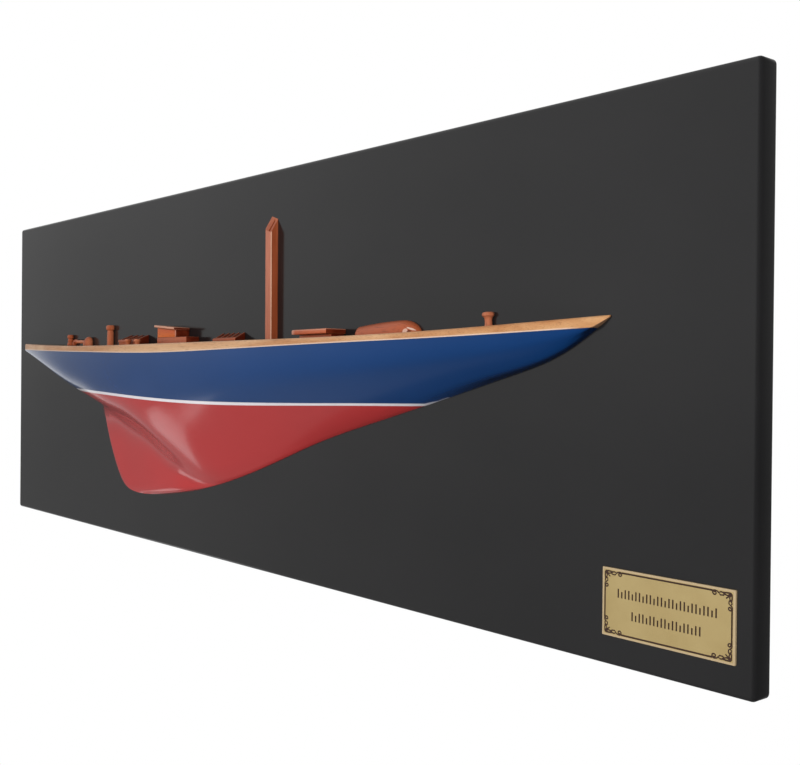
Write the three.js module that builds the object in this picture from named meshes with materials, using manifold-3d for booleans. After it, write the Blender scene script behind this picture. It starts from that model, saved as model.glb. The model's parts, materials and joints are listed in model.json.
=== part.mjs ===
// Half hull model of a racing yacht of the 1930s on a wall board, at about one fiftieth of full size.
// Millimetres, +Z up. The board's back lies on the wall, in the XZ plane, with its centre at the origin.
// The model stands off the board towards -Y, and its bow points to +X.

import * as THREE from 'three';
import { NURBSCurve } from 'three/addons/curves/NURBSCurve.js';
import { mergeVertices } from 'three/addons/utils/BufferGeometryUtils.js';
import Module from 'manifold-3d';

const wasm = await Module();
wasm.setup();

// Backboard
const boardLength = 900;
const boardHeight = 300;
const boardThickness = 12;
const boardEdgeRadius = 2.5;
const boardCornerRadius = 3;

// Hull and its place on the board
const hullLength = 779;
const bowMargin = 87;
const waterlineDrop = 20.5;
const draft = 89.5;
const freeboardBow = 52.95;
const freeboardShoulder = 46.75;
const freeboardFore = 43.5;
const freeboardMiddle = 41.45;
const freeboardLowest = 40.6;
const freeboardCounter = 42.2;
const freeboardStern = 46.2;
const halfBeam = 67;
const transomHalfWidth = 8;
const transomDepthBelowDeck = 1.7;
const stemHalfWidth = 1.2;
const keelHalfWidth = 7;
const keelEdgeHalfWidth = 1.4;
const keelFadeDepth = 30;
const keelTaperLength = 95;
const leastHullHeight = 0.4;

// Wooden deck layer, planed to the sheer: thickest amidships and at the ends, thinnest behind the bow
const deckThicknessStern = 6.1;
const deckThicknessCounter = 5.15;
const deckThicknessAft = 5.6;
const deckThicknessMiddle = 6.7;
const deckThicknessFore = 4.9;
const deckThicknessLeast = 4;
const deckThicknessBow = 6.1;
const deckEdgeChamfer = 0.8;
const seatGap = 0.05;

// Bare deck ahead of the bollard, and then between each fitting and the next one aft, as shares of the
// hull's length
const stemToBollardShare = 0.1084;
const bollardToDinghyShare = 0.0724;
const dinghyToHatchShare = 0.025;
const hatchToMastShare = 0.0552;
const mastToForeSkylightShare = 0.0472;
const foreSkylightToCoamingShare = 0.0483;
const coamingToAftSkylightShare = 0.0492;
const aftSkylightToTallPostShare = 0.0448;
const tallPostToDrumShare = 0.0469;

// Mast stub, the front part of a square spar, cut off on the slant towards the front and the bow
const mastWidth = 8;
const mastDepth = 6.2;
const mastTopAboveDeck = 94.9;
const mastSlant = 10.5;
const mastCrossSlant = 2.8;
const mastChamfer = 0.6;

// Deckhouse on its long coaming, with a thin roof that falls towards the bow
const coamingLength = 49.7;
const coamingDepth = 12.2;
const coamingHeight = 7.6;
const houseInset = 0.9;
const houseLength = 32.3;
const houseHeightAft = 8.4;
const houseHeightFore = 5.9;
const roofThickness = 1.8;
const roofOverhang = 1;
const roofSideOverhang = 2.9;

// Pitched skylights with glazing bars, cut at the ridge by the board
const aftSkylightLength = 33.4;
const aftSkylightDepth = 12.5;
const aftSkylightEaveHeight = 5.2;
const aftSkylightRidgeHeight = 10.2;
const foreSkylightLength = 32.6;
const foreSkylightDepth = 9;
const foreSkylightEaveHeight = 4.4;
const foreSkylightRidgeHeight = 9.3;
const glazingBarWidth = 1.5;
const glazingBarRise = 0.6;
const barEndGap = 0.3;
const eaveRailWidth = 1.8;
const eaveRailDrop = 1.1;
const eaveRailOverhang = 0.5;
const eaveRailStep = 0.2;

// Low hatch with an overhanging lid
const hatchLidLength = 40.4;
const hatchLidDepth = 17.1;
const hatchLidThickness = 3.3;
const hatchLidOverhang = 1.6;
const hatchLidFrontOverhang = 5.5;
const hatchBaseHeight = 5;
const hatchEdgeRadius = 0.6;

// Upturned dinghy
const dinghyLength = 60;
const dinghyHalfWidth = 11;
const dinghyHeight = 11.2;

// Turned posts, all halved by the board
const bollardHeight = 10.7;
const bollardCapHeight = 2.4;
const bollardCapRadius = 3.8;
const bollardNeckRadius = 2.3;
const tallPostHeight = 20.2;
const tallPostCapHeight = 4.2;
const tallPostCapRadius = 4.45;
const tallPostShaftRadius = 3.45;
const tallPostCollarRise = 2.2;
const tallPostCollarHeight = 0.8;
const aftPostHeight = 10.9;
const aftPostCapHeight = 3.8;
const aftPostCapRadius = 3.4;
const aftPostNeckRadius = 2.6;

// Steering drum and the spindle that lies between it and the aft post
const drumRadius = 4.8;
const drumHeight = 9.2;
const spindleLength = 33.4;
const spindleRadius = 2.3;
const spindleClearance = 1.2;
const spindleHeight = 4.2;
const spindleFootWidth = 2;

// Two small bitts in front of the aft skylight
const bittHeight = 6.6;
const bittRadius = 2.4;
const bittCapRadius = 3;
const bittSpacing = 18;
const bittLead = 12.6;
const bittClearance = 2;

// Brass plaque in the lower corner towards the bow
const plaqueLength = 79.4;
const plaqueHeight = 35.5;
const plaqueThickness = 1.2;
const plaqueCornerRadius = 0.4;
const plaqueEndMargin = 10.2;
const plaqueLowerMargin = 15.7;
const borderInset = 1.8;
const borderWidth = 0.9;
const borderEndGap = 12.5;
const borderSideGap = 9;
const engravingDepth = 0.3;
const strokeHeight = 4.6;
const strokeWidth = 0.9;
const upperRowLength = 62;
const lowerRowLength = 43;
const rowSpacing = 10.5;

// Surfaces
const boardLacquer = new THREE.MeshStandardMaterial({ color: 0x3a3a3c, roughness: 0.42, metalness: 0 });
const hullPaint = new THREE.MeshStandardMaterial({ color: 0xa83238, roughness: 0.2, metalness: 0 });
const paleWood = new THREE.MeshStandardMaterial({ color: 0xd2a069, roughness: 0.45, metalness: 0 });
const redWood = new THREE.MeshStandardMaterial({ color: 0x9c4a32, roughness: 0.4, metalness: 0 });
const brass = new THREE.MeshStandardMaterial({ color: 0xc2a15a, roughness: 0.3, metalness: 0.9 });

const group = new THREE.Group();
const clamp = THREE.MathUtils.clamp;
const lerp = THREE.MathUtils.lerp;
const smoothstep = THREE.MathUtils.smoothstep;

// A smooth curve y(x) through a few points, as a thin batten bends through its nails.
function batten(points) {
  const last = points.length - 1;
  const bend = new Array(last + 1).fill(0);
  const sweep = new Array(last + 1).fill(0);
  for (let i = 1; i < last; i++) {
    const [x0, y0] = points[i - 1];
    const [x1, y1] = points[i];
    const [x2, y2] = points[i + 1];
    const share = (x1 - x0) / (x2 - x0);
    const pivot = share * bend[i - 1] + 2;
    const turn = (y2 - y1) / (x2 - x1) - (y1 - y0) / (x1 - x0);
    bend[i] = (share - 1) / pivot;
    sweep[i] = (6 * turn / (x2 - x0) - share * sweep[i - 1]) / pivot;
  }
  const curvature = new Array(last + 1).fill(0);
  for (let i = last - 1; i > 0; i--) {
    curvature[i] = bend[i] * curvature[i + 1] + sweep[i];
  }
  return (x) => {
    let i = 0;
    while (i < last - 1 && x > points[i + 1][0]) {
      i++;
    }
    const width = points[i + 1][0] - points[i][0];
    const b = (x - points[i][0]) / width;
    const a = 1 - b;
    const sag = ((a ** 3 - a) * curvature[i] + (b ** 3 - b) * curvature[i + 1]) * width ** 2 / 6;
    return a * points[i][1] + b * points[i + 1][1] + sag;
  };
}

// A mesh geometry from corner points and triangles, turned so that its faces point outwards.
function closedGeometry(points, triangles) {
  let volume = 0;
  for (const [a, b, c] of triangles) {
    const [p, q, r] = [points[a], points[b], points[c]];
    volume += p[0] * (q[1] * r[2] - q[2] * r[1]);
    volume += p[1] * (q[2] * r[0] - q[0] * r[2]);
    volume += p[2] * (q[0] * r[1] - q[1] * r[0]);
  }
  const outward = volume > 0 ? triangles : triangles.map(([a, b, c]) => [a, c, b]);
  const geometry = new THREE.BufferGeometry();
  geometry.setAttribute('position', new THREE.Float32BufferAttribute(points.flat(), 3));
  geometry.setIndex(outward.flat());
  geometry.computeVertexNormals();
  return geometry;
}

// A solid through a row of rings with equal numbers of points, closed flat at both ends.
function loft(rings) {
  const count = rings[0].length;
  const triangles = [];
  for (let ring = 0; ring + 1 < rings.length; ring++) {
    for (let j = 0; j < count; j++) {
      const a = ring * count + j;
      const b = ring * count + (j + 1) % count;
      triangles.push([a, b, b + count]);
      triangles.push([a, b + count, a + count]);
    }
  }
  const lastRing = (rings.length - 1) * count;
  for (let j = 1; j + 1 < count; j++) {
    triangles.push([0, j + 1, j]);
    triangles.push([lastRing, lastRing + j, lastRing + j + 1]);
  }
  return closedGeometry(rings.flat(), triangles);
}

// Corner points of a rounded rectangle, counter-clockwise from its lower right corner.
function roundedRectangle(width, height, radius, steps) {
  const points = [];
  for (let corner = 0; corner < 4; corner++) {
    const sideX = corner === 0 || corner === 3 ? 1 : -1;
    const sideY = corner === 0 || corner === 1 ? 1 : -1;
    for (let i = 0; i <= steps; i++) {
      const angle = (corner + i / steps) * Math.PI / 2;
      const x = sideX * (width / 2 - radius) + radius * Math.cos(angle);
      const y = sideY * (height / 2 - radius) + radius * Math.sin(angle);
      points.push([x, y]);
    }
  }
  return points;
}

// A flat plate on the XZ plane, from the wall side at yBack to its rounded front edge at yFront.
function plate(width, height, yBack, yFront, cornerRadius, edgeRadius, steps) {
  const levels = [[yBack, 0]];
  for (let i = 0; i <= steps; i++) {
    const angle = i / steps * Math.PI / 2;
    const inset = edgeRadius * (1 - Math.cos(angle));
    levels.push([yFront + edgeRadius * (1 - Math.sin(angle)), inset]);
  }
  const rings = levels.map(([y, inset]) => {
    const outline = roundedRectangle(width - 2 * inset, height - 2 * inset, cornerRadius, steps);
    return outline.map(([x, z]) => [x, y, z]);
  });
  return loft(rings);
}

// Solids for joining and cutting.
function toSolid(geometry) {
  const plain = geometry.clone();
  plain.deleteAttribute('normal');
  plain.deleteAttribute('uv');
  const merged = mergeVertices(plain);
  const vertProperties = new Float32Array(merged.attributes.position.array);
  const triVerts = new Uint32Array(merged.index.array);
  return new wasm.Manifold(new wasm.Mesh({ numProp: 3, vertProperties, triVerts }));
}

function fromSolid(solid) {
  const mesh = solid.getMesh();
  const geometry = new THREE.BufferGeometry();
  geometry.setAttribute('position', new THREE.Float32BufferAttribute(mesh.vertProperties, 3));
  geometry.setIndex(Array.from(mesh.triVerts));
  geometry.computeVertexNormals();
  return geometry;
}

function addPiece(name, geometry, material) {
  const mesh = new THREE.Mesh(geometry, material);
  mesh.name = name;
  group.add(mesh);
  return mesh;
}

const boardFace = -boardThickness;

function buildBackboard() {
  const steps = 4;
  const sheet = plate(boardLength, boardHeight, 0, boardFace, boardCornerRadius, boardEdgeRadius, steps);
  addPiece('backboard', sheet, boardLacquer);
}

// Lines of the hull. A station is a share of the length, 0 at the stern and 1 at the stemhead.
const bowX = boardLength / 2 - bowMargin;
const sternX = bowX - hullLength;
const waterlineZ = -waterlineDrop;
const stationX = (station) => sternX + station * hullLength;
const stationAt = (x) => (x - sternX) / hullLength;
const below = (share) => waterlineZ - share * draft;
const above = (share) => waterlineZ + share * freeboardBow;
const widestStation = 0.528;

const sheer = batten([
  [0, freeboardStern],
  [0.2, freeboardCounter],
  [0.375, freeboardLowest],
  [0.62, freeboardMiddle],
  [0.79, freeboardFore],
  [0.89, freeboardShoulder],
  [1, freeboardBow],
]);

const deckThickness = batten([
  [0, deckThicknessStern],
  [0.2, deckThicknessCounter],
  [0.375, deckThicknessAft],
  [0.53, deckThicknessMiddle],
  [0.69, deckThicknessFore],
  [0.79, deckThicknessLeast],
  [1, deckThicknessBow],
]);

function deckTop(station) {
  return waterlineZ + sheer(station);
}

function hullTop(station) {
  return deckTop(station) - deckThickness(station);
}

function deckHalfWidth(station) {
  if (station > widestStation) {
    const foreward = (station - widestStation) / (1 - widestStation);
    return stemHalfWidth + (halfBeam - stemHalfWidth) * (1 - foreward ** 2.3) ** 0.95;
  }
  const aftward = (widestStation - station) / widestStation;
  return transomHalfWidth + (halfBeam - transomHalfWidth) * (1 - aftward ** 1.8);
}

// The underside of the body alone, from the transom under the counter to its end in the keel line.
const bodyEndStation = 0.505;
const bodyLine = batten([
  [0, hullTop(0) - transomDepthBelowDeck],
  [0.1, above(0.45)],
  [0.196, above(0.075)],
  [0.25, below(0.1)],
  [0.3, below(0.21)],
  [0.35, below(0.32)],
  [0.385, below(0.42)],
  [0.42, below(0.58)],
  [0.46, below(0.735)],
  [bodyEndStation, below(0.762)],
]);

// The underside of the keel, down the raked sternpost, round the heel and up to the stemhead.
const sternpostStation = 0.2205;
const sternpostRake = 0.56;
const keelLine = batten([
  [sternpostStation, bodyLine(sternpostStation)],
  [0.2388, below(0.43)],
  [0.2632, below(0.785)],
  [0.2805, below(0.924)],
  [0.302, below(0.982)],
  [0.357, below(0.9755)],
  [0.475, below(0.82)],
  [0.607, below(0.4945)],
  [0.665, below(0.328)],
  [0.743, below(0.145)],
  [0.834, above(0.095)],
  [0.911, above(0.392)],
  [0.963, above(0.65)],
  [1, above(0.977)],
]);

function profile(station) {
  return station < sternpostStation ? bodyLine(station) : keelLine(station);
}

function bodyBottom(station) {
  if (station < sternpostStation) {
    return bodyLine(station);
  }
  return station > bodyEndStation ? keelLine(station) : Math.max(bodyLine(station), keelLine(station));
}

// The keel thins to a narrow edge at its raked post, and where it is shallow towards the bow.
function keelHalfThickness(station, z) {
  const fade = smoothstep(bodyBottom(station) - profile(station), 0, keelFadeDepth);
  const postX = stationX(sternpostStation) + (bodyLine(sternpostStation) - z) * sternpostRake;
  const taper = smoothstep(stationX(station) - postX, 0, keelTaperLength);
  return lerp(keelEdgeHalfWidth, keelHalfWidth, fade * taper);
}

// Control points of a half section above the keel: out from the board as shares of the deck's half width,
// and up from the body's bottom as shares of its height.
const garboardOut = batten([
  [0, 0.3], [0.2, 0.2], [0.28, 0.17], [0.36, 0.24],
  [0.41, 0.24], [0.5, 0.15], [0.75, 0.2], [1, 0.3],
]);
const garboardUp = batten([
  [0, 0.03], [0.28, 0.05], [0.38, 0.07], [0.5, 0.05],
  [0.75, 0.05], [1, 0.04],
]);
const bilgeOut = batten([
  [0, 0.9], [0.12, 0.88], [0.2, 0.82], [0.27, 0.77], [0.37, 0.85],
  [0.5, 0.88], [0.75, 0.84], [1, 0.8],
]);
const bilgeUp = batten([
  [0, 0.12], [0.12, 0.12], [0.2, 0.17], [0.27, 0.22], [0.36, 0.29],
  [0.41, 0.44], [0.46, 0.57], [0.6, 0.6], [0.75, 0.54], [1, 0.42],
]);
const topsideOut = batten([[0, 1], [0.53, 1], [0.75, 0.98], [1, 0.95]]);
const topsideUp = batten([[0, 0.45], [0.2, 0.5], [0.36, 0.66], [0.46, 0.8], [0.6, 0.8], [0.75, 0.72], [1, 0.62]]);

// A smooth half section from the keel's underside, up its side, through the garboard to the deck edge.
function sectionCurve(station) {
  const degree = 3;
  const knots = [0, 0, 0, 0, 1, 2, 3, 4, 4, 4, 4];
  const width = deckHalfWidth(station);
  const keel = profile(station);
  const bottom = bodyBottom(station);
  const top = hullTop(station);
  const middle = (keel + bottom) / 2;
  const controls = [
    [0, keel],
    [keelHalfThickness(station, keel), keel],
    [keelHalfThickness(station, middle), middle],
    [width * garboardOut(station), lerp(bottom, top, garboardUp(station))],
    [width * bilgeOut(station), lerp(bottom, top, bilgeUp(station))],
    [width * topsideOut(station), lerp(bottom, top, topsideUp(station))],
    [width, top],
  ];
  return new NURBSCurve(degree, knots, controls.map(([n, z]) => new THREE.Vector4(n, z, 0, 1)));
}

// Points at even distances along a row of close points, the first left out and the last kept.
function evenlySpaced(row, count) {
  const distance = [0];
  for (let i = 1; i < row.length; i++) {
    distance.push(distance[i - 1] + row[i].distanceTo(row[i - 1]));
  }
  const spaced = [];
  let i = 1;
  for (let step = 1; step < count; step++) {
    const target = distance[row.length - 1] * step / count;
    while (distance[i] < target) {
      i++;
    }
    const share = (target - distance[i - 1]) / (distance[i] - distance[i - 1]);
    spaced.push(row[i - 1].clone().lerp(row[i], share));
  }
  return [...spaced, row[row.length - 1]];
}

// One half section as points [half width, z], with its own share of them below the garboard.
function hullSection(station) {
  const samples = 240;
  const garboardSample = 78;
  const pointsBelow = 11;
  const pointsAbove = 17;
  const row = sectionCurve(station).getPoints(samples);
  const lower = evenlySpaced(row.slice(0, garboardSample + 1), pointsBelow);
  const upper = evenlySpaced(row.slice(garboardSample), pointsAbove);
  return [row[0], ...lower, ...upper].map((point) => [point.x, point.y]);
}

// The painted hull ends where the stem line reaches the underside of the deck.
function hullEndStation() {
  const halvings = 20;
  let low = 0.8;
  let high = 1;
  for (let i = 0; i < halvings; i++) {
    const middle = (low + high) / 2;
    if (hullTop(middle) - keelLine(middle) > leastHullHeight) {
      low = middle;
    } else {
      high = middle;
    }
  }
  return low;
}

function evenSteps(from, to, count) {
  return Array.from({ length: count }, (_, i) => lerp(from, to, i / count));
}

const heelStation = 0.32;
const foreBodyStation = 0.88;
const hullEnd = hullEndStation();
const hullStations = [
  ...evenSteps(0, sternpostStation, 13),
  ...evenSteps(sternpostStation, heelStation, 15),
  ...evenSteps(heelStation, foreBodyStation, 32),
  ...evenSteps(foreBodyStation, hullEnd, 9),
  hullEnd,
];

function buildHull() {
  const rings = hullStations.map((station) => {
    const x = stationX(station);
    const side = hullSection(station).map(([n, z]) => [x, boardFace - n, z]);
    return [[x, boardFace, hullTop(station)], ...side];
  });
  addPiece('hull', loft(rings), hullPaint);
}

function buildDeck() {
  const stations = [...hullStations, ...evenSteps(hullEnd, 1, 4).slice(1), 1];
  const rings = stations.map((station) => {
    const x = stationX(station);
    const edge = deckHalfWidth(station);
    const top = deckTop(station);
    const underside = Math.max(hullTop(station), keelLine(Math.max(station, hullEnd)));
    const bottom = station <= hullEnd ? hullTop(station) : underside;
    const chamfer = Math.min(deckEdgeChamfer, (top - bottom) / 3, edge / 3);
    return [
      [x, boardFace, bottom],
      [x, boardFace - edge, bottom],
      [x, boardFace - edge, top - chamfer],
      [x, boardFace - edge + chamfer, top],
      [x, boardFace, top],
    ];
  });
  addPiece('deck', loft(rings), paleWood);
}

// How far aft of the stemhead the middle of each fitting is. Each is set off from its neighbour ahead.
function nextAft(fromBow, halfLength, deckShare, nextHalfLength) {
  return fromBow + halfLength + deckShare * hullLength + nextHalfLength;
}

const halfDinghy = dinghyLength / 2;
const halfLid = hatchLidLength / 2;
const halfMast = mastWidth / 2;
const halfForeSkylight = foreSkylightLength / 2;
const halfCoaming = coamingLength / 2;
const halfAftSkylight = aftSkylightLength / 2;
const bollardFromBow = nextAft(0, 0, stemToBollardShare, bollardCapRadius);
const dinghyFromBow = nextAft(bollardFromBow, bollardCapRadius, bollardToDinghyShare, halfDinghy);
const hatchFromBow = nextAft(dinghyFromBow, halfDinghy, dinghyToHatchShare, halfLid);
const mastFromBow = nextAft(hatchFromBow, halfLid, hatchToMastShare, halfMast);
const foreSkylightFromBow = nextAft(mastFromBow, halfMast, mastToForeSkylightShare, halfForeSkylight);
const coamingFromBow = nextAft(
  foreSkylightFromBow, halfForeSkylight, foreSkylightToCoamingShare, halfCoaming,
);
const aftSkylightFromBow = nextAft(coamingFromBow, halfCoaming, coamingToAftSkylightShare, halfAftSkylight);
const tallPostFromBow = nextAft(
  aftSkylightFromBow, halfAftSkylight, aftSkylightToTallPostShare, tallPostCapRadius,
);
const drumFromBow = nextAft(tallPostFromBow, tallPostCapRadius, tallPostToDrumShare, drumRadius);
const spindleFromBow = drumFromBow + drumRadius + spindleClearance + spindleLength / 2;
const aftPostFromBow = spindleFromBow + spindleLength / 2 + spindleClearance + aftPostCapRadius;

// Fittings stand on the deck, turned to its slope, with their backs on the board.
function seatOnDeck(mesh, fromBow, reach) {
  const x = bowX - fromBow;
  const aft = deckTop(stationAt(x - reach));
  const fore = deckTop(stationAt(x + reach));
  const middle = deckTop(stationAt(x));
  mesh.position.set(x, boardFace, Math.max(middle, (aft + fore) / 2) + seatGap);
  mesh.rotation.y = -Math.atan2(fore - aft, 2 * reach);
}

// A block whose outline in the XZ plane is extruded from the board by its depth.
function block(outline, depth) {
  return loft([0, -depth].map((y) => outline.map(([x, z]) => [x, y, z])));
}

function buildMastStub() {
  const outline = [
    [-halfMast, 0],
    [halfMast, 0],
    [halfMast, -mastDepth + mastChamfer],
    [halfMast - mastChamfer, -mastDepth],
    [-halfMast + mastChamfer, -mastDepth],
    [-halfMast, -mastDepth + mastChamfer],
  ];
  const forwardFall = (y) => y * mastSlant / mastDepth;
  const sidewaysFall = (x) => (x + halfMast) * mastCrossSlant / mastWidth;
  const stub = loft([
    outline.map(([x, y]) => [x, y, 0]),
    outline.map(([x, y]) => [x, y, mastTopAboveDeck + forwardFall(y) - sidewaysFall(x)]),
  ]);
  seatOnDeck(addPiece('mast_stub', stub, redWood), mastFromBow, halfMast);
}

function buildDeckhouse() {
  const coaming = block([
    [-halfCoaming, 0],
    [halfCoaming, 0],
    [halfCoaming, coamingHeight],
    [-halfCoaming, coamingHeight],
  ], coamingDepth);
  const seat = addPiece('deckhouse_coaming', coaming, redWood);
  seatOnDeck(seat, coamingFromBow, halfCoaming);

  const aft = -halfCoaming + houseInset;
  const fore = aft + houseLength;
  const floor = coamingHeight + seatGap;
  const house = block([
    [aft, floor],
    [fore, floor],
    [fore, floor + houseHeightFore],
    [aft, floor + houseHeightAft],
  ], coamingDepth);
  const walls = addPiece('deckhouse', house, redWood);
  walls.position.copy(seat.position);
  walls.rotation.copy(seat.rotation);

  const fall = (houseHeightFore - houseHeightAft) / houseLength;
  const roofUnder = (x) => floor + seatGap + houseHeightAft + (x - aft) * fall;
  const roofAft = aft - roofOverhang;
  const roofFore = fore + roofOverhang;
  const roof = block([
    [roofAft, roofUnder(roofAft)],
    [roofFore, roofUnder(roofFore)],
    [roofFore, roofUnder(roofFore) + roofThickness],
    [roofAft, roofUnder(roofAft) + roofThickness],
  ], coamingDepth + roofSideOverhang);
  const cover = addPiece('deckhouse_roof', roof, redWood);
  cover.position.copy(seat.position);
  cover.rotation.copy(seat.rotation);
}

// A skylight: a wall up to the eave, then a slope up to the ridge on the board. Raised glazing bars run
// down the slope onto an eave rail.
function buildSkylight(name, fromBow, half, depth, eaveHeight, ridgeHeight, barCount) {
  const slope = (ridgeHeight - eaveHeight) / depth;
  const slopeAt = (y) => ridgeHeight + y * slope;
  const body = loft([-half, half].map((end) => [
    [end, 0, 0],
    [end, -depth, 0],
    [end, -depth, eaveHeight],
    [end, 0, ridgeHeight],
  ]));
  let solid = toSolid(body);
  const barBottom = eaveHeight / 2;
  const barBack = -barEndGap;
  const barFront = -depth + eaveRailWidth / 2;
  for (let i = 0; i < barCount; i++) {
    const reach = half - barEndGap - glazingBarWidth / 2;
    const middle = lerp(-reach, reach, i / (barCount - 1));
    const sides = [middle - glazingBarWidth / 2, middle + glazingBarWidth / 2];
    const bar = loft(sides.map((side) => [
      [side, barBack, barBottom],
      [side, barFront, barBottom],
      [side, barFront, slopeAt(barFront) + glazingBarRise],
      [side, barBack, slopeAt(barBack) + glazingBarRise],
    ]));
    solid = solid.add(toSolid(bar));
  }
  const railFront = -depth - eaveRailOverhang;
  const railBack = railFront + eaveRailWidth;
  const railTop = glazingBarRise + eaveRailStep;
  const rail = loft([-half - eaveRailOverhang, half + eaveRailOverhang].map((end) => [
    [end, railBack, eaveHeight - eaveRailDrop],
    [end, railFront, eaveHeight - eaveRailDrop],
    [end, railFront, slopeAt(railFront) + railTop],
    [end, railBack, slopeAt(railBack) + railTop],
  ]));
  solid = solid.add(toSolid(rail));
  seatOnDeck(addPiece(name, fromSolid(solid), redWood), fromBow, half);
}

function buildHatch() {
  const halfBase = halfLid - hatchLidOverhang;
  const base = block([
    [-halfBase, 0],
    [halfBase, 0],
    [halfBase, hatchBaseHeight],
    [-halfBase, hatchBaseHeight],
  ], hatchLidDepth - hatchLidFrontOverhang);
  const coaming = addPiece('hatch_coaming', base, redWood);
  seatOnDeck(coaming, hatchFromBow, halfBase);

  const under = hatchBaseHeight + seatGap;
  const levels = [
    [under, 0],
    [under + hatchLidThickness - hatchEdgeRadius, 0],
    [under + hatchLidThickness, hatchEdgeRadius],
  ];
  const lid = loft(levels.map(([z, inset]) => {
    const half = halfLid - inset;
    const front = -hatchLidDepth + inset;
    return [[-half, 0, z], [-half, front, z], [half, front, z], [half, 0, z]];
  }));
  const cover = addPiece('hatch_lid', lid, redWood);
  cover.position.copy(coaming.position);
  cover.rotation.copy(coaming.rotation);
}

// The dinghy lies keel up, its transom towards the stern and its round bow highest just behind the stem.
function buildDinghy() {
  const steps = 20;
  const arcSteps = 8;
  const transomWidthShare = 0.72;
  const transomHeightShare = 0.83;
  const crownShare = 0.7;
  const bowShare = 0.015;
  const rings = [];
  for (let i = 0; i <= steps; i++) {
    const along = Math.sin(i / steps * Math.PI / 2);
    const width = along < 0.5
      ? lerp(transomWidthShare, 1, Math.sin(along * Math.PI))
      : Math.sqrt(Math.max(1 - ((along - 0.5) / 0.5) ** 2.4, 0));
    const crown = along < crownShare
      ? lerp(transomHeightShare, 1, Math.sin(along / crownShare * Math.PI / 2))
      : Math.sqrt(Math.max(1 - ((along - crownShare) / (1 - crownShare)) ** 2, 0));
    const n = dinghyHalfWidth * Math.max(width, bowShare);
    const height = dinghyHeight * Math.max(crown, bowShare);
    const ring = [];
    for (let j = 0; j <= arcSteps; j++) {
      const angle = j / arcSteps * Math.PI / 2;
      ring.push([along * dinghyLength, -n * Math.cos(angle) ** 0.8, height * Math.sin(angle) ** 0.8]);
    }
    ring.push([along * dinghyLength, 0, 0]);
    rings.push(ring);
  }
  const boat = loft(rings.map((ring) => ring.map(([x, y, z]) => [x - halfDinghy, y, z])));
  seatOnDeck(addPiece('dinghy', boat, redWood), dinghyFromBow, halfDinghy);
}

// A turned post, halved by the board. Its outline is a list of [radius, height].
function halfTurned(outline, offset = 0) {
  const steps = 12;
  return loft(outline.map(([radius, z]) => {
    const ring = [];
    for (let i = 0; i <= steps; i++) {
      const angle = i / steps * Math.PI;
      ring.push([radius * Math.cos(angle) + offset, -radius * Math.sin(angle), z]);
    }
    return ring;
  }));
}

// Outline of a post with a flared foot as wide as its rounded cap, and a waisted neck.
function postOutline(neckRadius, capRadius, height, capHeight) {
  const shoulder = height - capHeight;
  return [
    [capRadius, 0],
    [capRadius, 0.08 * height],
    [lerp(neckRadius, capRadius, 0.35), 0.16 * height],
    [neckRadius, 0.32 * height],
    [neckRadius, shoulder - 0.12 * height],
    [lerp(neckRadius, capRadius, 0.4), shoulder - 0.04 * height],
    [capRadius, shoulder],
    [capRadius, shoulder + 0.55 * capHeight],
    [0.86 * capRadius, shoulder + 0.85 * capHeight],
    [0.55 * capRadius, height],
  ];
}

function buildPosts() {
  const bollard = postOutline(bollardNeckRadius, bollardCapRadius, bollardHeight, bollardCapHeight);
  seatOnDeck(addPiece('bow_bollard', halfTurned(bollard), redWood), bollardFromBow, bollardCapRadius);

  const collarRadius = lerp(tallPostShaftRadius, tallPostCapRadius, 0.55);
  const shoulder = tallPostHeight - tallPostCapHeight;
  const tallPost = [
    [tallPostShaftRadius, 0],
    [tallPostShaftRadius, shoulder - tallPostCollarRise],
    [collarRadius, shoulder - 0.75 * tallPostCollarRise],
    [collarRadius, shoulder - 0.75 * tallPostCollarRise + tallPostCollarHeight],
    [tallPostShaftRadius, shoulder - 0.15 * tallPostCollarRise],
    [tallPostCapRadius, shoulder + 0.1 * tallPostCapHeight],
    [tallPostCapRadius, shoulder + 0.6 * tallPostCapHeight],
    [0.85 * tallPostCapRadius, shoulder + 0.88 * tallPostCapHeight],
    [0.55 * tallPostCapRadius, tallPostHeight],
  ];
  seatOnDeck(addPiece('tall_post', halfTurned(tallPost), redWood), tallPostFromBow, tallPostCapRadius);

  const aftPost = postOutline(aftPostNeckRadius, aftPostCapRadius, aftPostHeight, aftPostCapHeight);
  seatOnDeck(addPiece('aft_post', halfTurned(aftPost), redWood), aftPostFromBow, aftPostCapRadius);
}

function buildSteeringDrum() {
  const steps = 7;
  const straight = 0.35 * drumHeight;
  const outline = [[drumRadius, 0]];
  for (let i = 0; i < steps; i++) {
    const angle = i / steps * Math.PI / 2;
    outline.push([drumRadius * Math.cos(angle), straight + (drumHeight - straight) * Math.sin(angle)]);
  }
  seatOnDeck(addPiece('steering_drum', halfTurned(outline), redWood), drumFromBow, drumRadius);
}

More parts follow.
